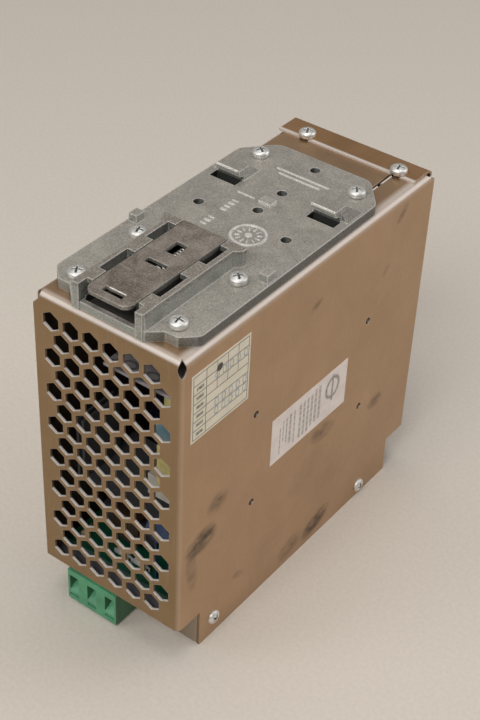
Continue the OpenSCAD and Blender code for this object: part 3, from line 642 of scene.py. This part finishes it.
def pan_screws(node, name):
    """The screws of a CAD node, each where its solid is, with its head outward."""
    head = 2.4 * MM
    bm = bmesh.new()
    turns = random.Random(7)
    for low, high in island_boxes(node):
        middle, size = (low + high) / 2, high - low
        # the shank's axis is the one whose size is unlike the other two
        axis = max(range(3), key=lambda i: abs((size[i] - size[i - 1]) * (size[i] - size[i - 2])))
        radius = max(size[i] for i in range(3) if i != axis) / 2
        way = 1 if axis == 2 or middle[0] > 0 else -1
        outward = Vector([way if i == axis else 0 for i in range(3)])
        seat = middle + outward * (size[axis] / 2 - head)
        pan_screw(bm, seat, outward, size[axis] - head, radius, head, turns.uniform(0, math.pi / 2))
    return add_piece(name, bm, pan_plated, "case", (node,), second=cross_recess_shade)


def rod(bm, sides, radius, length, matrix):
    """A closed round rod along the matrix's own Z."""
    bmesh.ops.create_cone(bm, cap_ends=True, segments=sides, radius1=radius, radius2=radius, depth=length,
                          matrix=matrix)


def small_parts(name, places, material):
    """Axial parts lying over the main board on two bent leads; each place is x, y and an angle."""
    radius, length, lead, overhang = mm(1.1, 5.0, 0.3, 1.2)
    clear, foot_in = mm(0.5, 1.0)
    bm = bmesh.new()
    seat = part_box("main_board")[1].z
    lift = seat + radius + clear
    for x, y, turn in places:
        along = Vector((math.cos(math.radians(turn)), math.sin(math.radians(turn)), 0))
        centre = Vector((x * MM, y * MM, lift))
        lie = along.to_track_quat("Z", "Y").to_matrix().to_4x4()
        lie.translation = centre
        rod(bm, 14, radius, length, lie)
        rod(bm, 14, lead, length + 2 * overhang, lie)
        for way in (-1, 1):
            foot = centre + along * way * (length / 2 + foot_in)
            rod(bm, 8, lead, lift - seat, Matrix.Translation((foot.x, foot.y, (seat + lift) / 2)))
    return add_piece(name, bm, material, "case")


# ------------------------------------------------------------------ finishes

# Dark marks on the labelled side: y, z, half length, half width, angle and depth
SCUFFS = (
    (9.7, 48.1, 8.5, 4.4, -9, 0.62),
    (42.7, 40.2, 5.5, 3.6, -4, 0.65),
    (10.5, 6.6, 10.0, 4.6, 17, 1.0),
    (-46.8, 57.8, 6.0, 4.6, 9, 0.50),
    (-45.5, 58.8, 2.0, 1.2, 9, 0.60),
    (-54.6, 47.0, 9.0, 5.6, 4, 0.95),
    (-52.0, 47.6, 5.5, 1.6, 10, 0.85),
    (-5.0, 6.0, 8.0, 5.0, 14, 0.55),
    (-34.3, 16.6, 4.0, 2.0, -17, 0.35),
    (-59.0, 38.0, 11.0, 3.4, -84, 0.40),
    (46.6, 115.0, 4.6, 1.9, 44, 0.85),
    (-0.1, 105.0, 4.2, 1.8, 20, 0.60),
    (40.0, 96.7, 3.4, 1.7, 40, 0.35),
    (1.3, 35.9, 14.0, 8.0, 25, 0.11),
    (15.6, 26.5, 12.0, 9.0, 35, 0.10),
    (-20.4, 16.6, 14.0, 8.0, 20, 0.10),
)
# x, y and half width of the painted shade on the sheet under the adapter's openings
UNDER_OPENINGS = (
    (18.6, 14.2, 7.5), (-18.6, 14.2, 7.5), (16.5, -2.4, 2.2), (-16.5, -2.4, 2.2),
    (0.4, 5.3, 2.2), (0.4, 17.9, 2.2), (0.4, 35.9, 2.2),
)
# The browns of the three sheet finishes are a painted reflection of warm brown surroundings on zinc-coated
# sheet.
steel = sheet_steel("steel", (0.47, 0.31, 0.185), (0.54, 0.365, 0.23), SCUFFS,
                    # painted highlights along the two top bends and beside them
                    bands=(((24.4, None, 121.2), (28.0, None, 122.0), 0.9, 0.85),
                           ((27.0, None, 119.4), (28.0, None, 121.4), 0.8, 0.45),
                           ((None, -65.5, 121.2), (None, -62.6, 122.0), 0.5, 0.6)),
                    shade=[((x, y, 121.5), (half, half * 0.8, 0.4)) for x, y, half in UNDER_OPENINGS])
steel_plain = sheet_steel("steel_plain", (0.42, 0.29, 0.19), (0.48, 0.335, 0.225), top=(0.88, 0.74, 0.56),
                          # a painted highlight along the far plate's near edge
                          bands=(((None, 53.8, 121.0), (None, 55.5, 123.0), 0.25, 1.0),),
                          inner=((-27.0, -63.9, 0.0), (27.0, 63.9, 119.7)))
# the front panel's inner box is darkened with a blue cast, as painted shade inside the case
steel_inner = sheet_steel("steel_inner", (0.46, 0.37, 0.29), (0.54, 0.45, 0.36), end=(0.9, 0.9, 0.9),
                          top=(1.0, 1.0, 1.05), inner=((-27.2, -64.2, 12.9), (27.2, 64.2, 119.0)),
                          dim=(0.60, 0.68, 0.95))
# painted shade in the latch channel and the hook windows; painted highlights along the hooks' near top
# edges and on the raised marks
latch_channel = ((-10.1, -62.0, 121.0), (10.1, -20.6, 128.4), 0.80)
hook_windows = [((x - 5.2, 12.0, 121.0), (x + 5.2, 16.4, 124.7), 0.85) for x in (-18.6, 18.6)]
hook_edges = [((x - 5.6, 13.6, 128.2), (x + 4.0, 14.8, 129.4)) for x in (-18.4, 18.4)]
raised_marks = ((-12.5, -14.5, 125.25), (12.5, 52.5, 125.70))
zinc = cast_zinc("zinc", (0.37, 0.35, 0.315), (0.45, 0.425, 0.38), (0.64, 0.61, 0.56),
                 handled=(0.27, 0.235, 0.20), shade_boxes=[latch_channel, *hook_windows],
                 glints=[*hook_edges, raised_marks])
# painted shade under the slide; a painted highlight on the near slot's far edge
under_slide = ((-11, -66, 121), (11, -15, 128.9), 0.85)
slot_edge = ((-2.6, -60.1, 130.2), (3.4, -59.6, 131.0))
zinc_brown = cast_zinc("zinc_brown", (0.18, 0.147, 0.12), (0.335, 0.30, 0.265), (0.45, 0.41, 0.365), 0.35,
                       shade_boxes=[under_slide], scratches=0.35, polish=0.30, glints=[slot_edge])
plated = bright_metal("plated", (0.80, 0.80, 0.78), 0.40)
pan_plated = bright_metal("pan_plated", (0.84, 0.84, 0.82), 0.40, edge=(0.84, 0.84, 0.82), amount=0.1)
# painted shade: the deeper faces of the cross recesses get this dark grey
cross_recess_shade = bright_metal("cross_recess_shade", (0.21, 0.21, 0.21), 0.45, edge=(0.21, 0.21, 0.21), amount=0.1)
tinned = bright_metal("tinned", (0.74, 0.72, 0.66), 0.30)
brass = bright_metal("brass", (0.70, 0.52, 0.22), 0.30)
spring = bright_metal("spring", (0.95, 0.93, 0.87), 0.34, 0.15)
# the plug's +X side gets painted shade
green_plug = moulded("green_plug", (0.085, 0.34, 0.175), 0.40, shaded=(0.55, 0.50, 0.45))
green_header = moulded("green_header", (0.06, 0.26, 0.13), 0.42)
board = moulded("board", (0.008, 0.095, 0.052), 0.35, coat=0.3)
ferrite = moulded("ferrite", (0.05, 0.05, 0.055), 0.55, mottle=0.2)
enamel = moulded("enamel", (0.055, 0.030, 0.018), 0.35, coat=0.4)
blue_epoxy = moulded("blue_epoxy", (0.006, 0.05, 0.17), 0.34, coat=0.2)
steel_blue = moulded("steel_blue", (0.12, 0.26, 0.33), 0.32, coat=0.4)
fuse_glass = moulded("fuse_glass", (0.70, 0.74, 0.74), 0.15, coat=0.6)
# the bracket's rings are painted shadows of the near wall's holes
bracket = moulded("bracket", (0.40, 0.37, 0.39), 0.55, metallic=0.2, mottle=0.1,
                  lower=(80, -30, (0.085, 0.085, 0.095)),
                  rings=[((x, -58.0, 105.0), (3.0, 2.1, 1.5)) for x in (-3.0, 3.4, 11.7)])
aluminium = moulded("aluminium", (0.16, 0.16, 0.17), 0.45, metallic=0.6, mottle=0.08)
film_yellow = moulded("film_yellow", (0.80, 0.70, 0.26), 0.35, coat=0.3,
                      lower=(63.9, 12.45, (0.55, 0.53, 0.48)))
sleeve = moulded("sleeve", (0.012, 0.014, 0.030), 0.28, coat=0.3)
black_epoxy = moulded("black_epoxy", (0.02, 0.02, 0.02), 0.45)
bobbin = moulded("bobbin", (0.55, 0.50, 0.40), 0.45)
tape = moulded("tape", (0.62, 0.47, 0.10), 0.38, coat=0.2)
copper = moulded("copper", (0.50, 0.22, 0.08), 0.30, metallic=0.5, coat=0.4)
film_clear = moulded("film_clear", (0.66, 0.62, 0.44), 0.30)
trimmer = moulded("trimmer", (0.04, 0.16, 0.52), 0.40)
white_plastic = moulded("white_plastic", (0.80, 0.79, 0.74), 0.40)
ceramic = moulded("ceramic", (0.72, 0.72, 0.70), 0.35)
resistor = moulded("resistor", (0.42, 0.33, 0.20), 0.35, coat=0.3)
lamp = moulded("lamp", (0.10, 0.55, 0.20), 0.15, coat=0.6)
label_cream = paper("label_cream", (0.86, 0.80, 0.66), table_marks)
label_white = paper("label_white", (0.90, 0.82, 0.78), notice_marks)
label_front = paper("label_front", (0.10, 0.10, 0.11), front_marks)

assign(steel, "housing_shell")
assign(steel_plain, "side_cover", "far_end_plate")
assign(steel_inner, "front_panel")
assign(plated, "board_screws")
assign(label_cream, "table_label")
assign(label_white, "notice_label")
assign(label_front, "front_label")
assign(board, "main_board", "filter_board", "control_board")
assign(brass, "board_standoffs")
assign(film_clear, "insulation_sheet")
assign(tinned, "header_pins", "input_contacts", "output_contacts", "fuse_clips")
assign(green_header, "input_header", "output_header")
assign(ferrite, "line_choke_core", "transformer_core")
assign(enamel, "line_choke_windings")
assign(blue_epoxy, "varistor")
assign(fuse_glass, "fuse")
assign(bracket, "filter_bracket")
assign(aluminium, "heatsinks")
assign(film_yellow, "x_capacitors")
assign(steel_blue, "y_capacitors")
assign(sleeve, "bulk_capacitors", "output_capacitors")
assign(black_epoxy, "power_semiconductors")
assign(bobbin, "transformer_bobbin")
assign(tape, "transformer_winding")
assign(copper, "output_choke")
assign(trimmer, "trim_pot")
assign(white_plastic, "trim_rotor")
assign(lamp, "status_led")
for side, poles in (("input", 3), ("output", 4)):
    for n in range(1, poles + 1):
        assign(plated, f"{side}_screw_{n}")
        assign(tinned, f"{side}_cage_{n}")

softened("rail_adapter", 0.35, "adapter_body", zinc, "case")
softened("latch_slide", 0.25, "latch_body", zinc_brown, "latch")
softened("input_plug", 0.18, "input_plug_body", green_plug, "input_plug")
softened("output_plug", 0.18, "output_plug_body", green_plug, "output_plug")
coil_spring("latch_coil", spring)
pan_screws("adapter_screws", "adapter_pan_screws")
pan_screws("flange_screws", "flange_pan_screws")
pan_screws("side_screws", "side_pan_screws")
small_parts("ceramic_resistors", ((-4.6, -53.2, 0), (2.8, -53.2, 0)), ceramic)
small_parts("film_resistors", ((11.0, -46.0, 90), (14.4, -46.0, 90), (-20.6, -52.5, 90)), resistor)

# ------------------------------------------------------------------ stage


def stage_floor(half=12):
    """A plain pale floor; half is its half width in metres."""
    bm = bmesh.new()
    bmesh.ops.create_grid(bm, x_segments=1, y_segments=1, size=half)
    mesh = bpy.data.meshes.new("floor")
    bm.to_mesh(mesh)
    bm.free()
    floor = bpy.data.objects.new("floor", mesh)
    bpy.context.scene.collection.objects.link(floor)
    m = Material("floor", 0.75)
    fine = m.noise(1.4, 3, 0.6)
    m.set("Base Color", m.mix(m.span(fine, 0.35, 0.65), (0.62, 0.57, 0.51), (0.66, 0.61, 0.55)))
    mesh.materials.append(m.data)


def soft_light(name, at, target, size, watts, colour):
    """An area light at a point, turned to a target; the places and sizes are in metres."""
    data = bpy.data.lights.new(name, "AREA")
    data.shape = "RECTANGLE"
    data.size, data.size_y = size
    data.energy = watts
    data.color = colour
    lamp_object = bpy.data.objects.new(name, data)
    lamp_object.location = at
    lamp_object.rotation_euler = (Vector(target) - Vector(at)).to_track_quat("-Z", "Y").to_euler()
    bpy.context.scene.collection.objects.link(lamp_object)


stage_floor()
case_middle = mm(0, 0, 65)
warm_white, rose_white = (1.0, 0.98, 0.95), (1.0, 0.97, 0.96)
soft_light("overhead", (-0.05, 0.10, 1.25), case_middle, (0.8, 0.8), 4.5, warm_white)
soft_light("front_top", (0.16, -0.86, 0.98), case_middle, (0.6, 0.45), 6.5, warm_white)
soft_light("front_left", (-0.60, -0.80, 0.86), case_middle, (0.45, 0.45), 2.1, warm_white)
soft_light("back_right", (0.76, 0.82, 0.66), case_middle, (0.85, 0.85), 4.2, rose_white)

world = bpy.data.worlds.new("studio")
bpy.context.scene.world = world
world.use_nodes = True
background = world.node_tree.nodes["Background"]
background.inputs["Color"].default_value = (0.80, 0.77, 0.73, 1)
background.inputs["Strength"].default_value = 0.30
bpy.context.scene.view_settings.view_transform = "Standard"

# the camera's place, turn and lens, solved from the case's straight edges
camera_data = bpy.data.cameras.new("camera")
camera_data.sensor_fit = "AUTO"
camera_data.sensor_width = 36.0
camera_data.lens = 75.63
camera_data.clip_start, camera_data.clip_end = 0.02, 20
camera = bpy.data.objects.new("camera", camera_data)
camera.location = mm(223.6, -314.7, 373.4)
camera.rotation_euler = Euler([math.radians(a) for a in (51.80, -2.16, 37.07)])
bpy.context.scene.collection.objects.link(camera)
bpy.context.scene.camera = camera
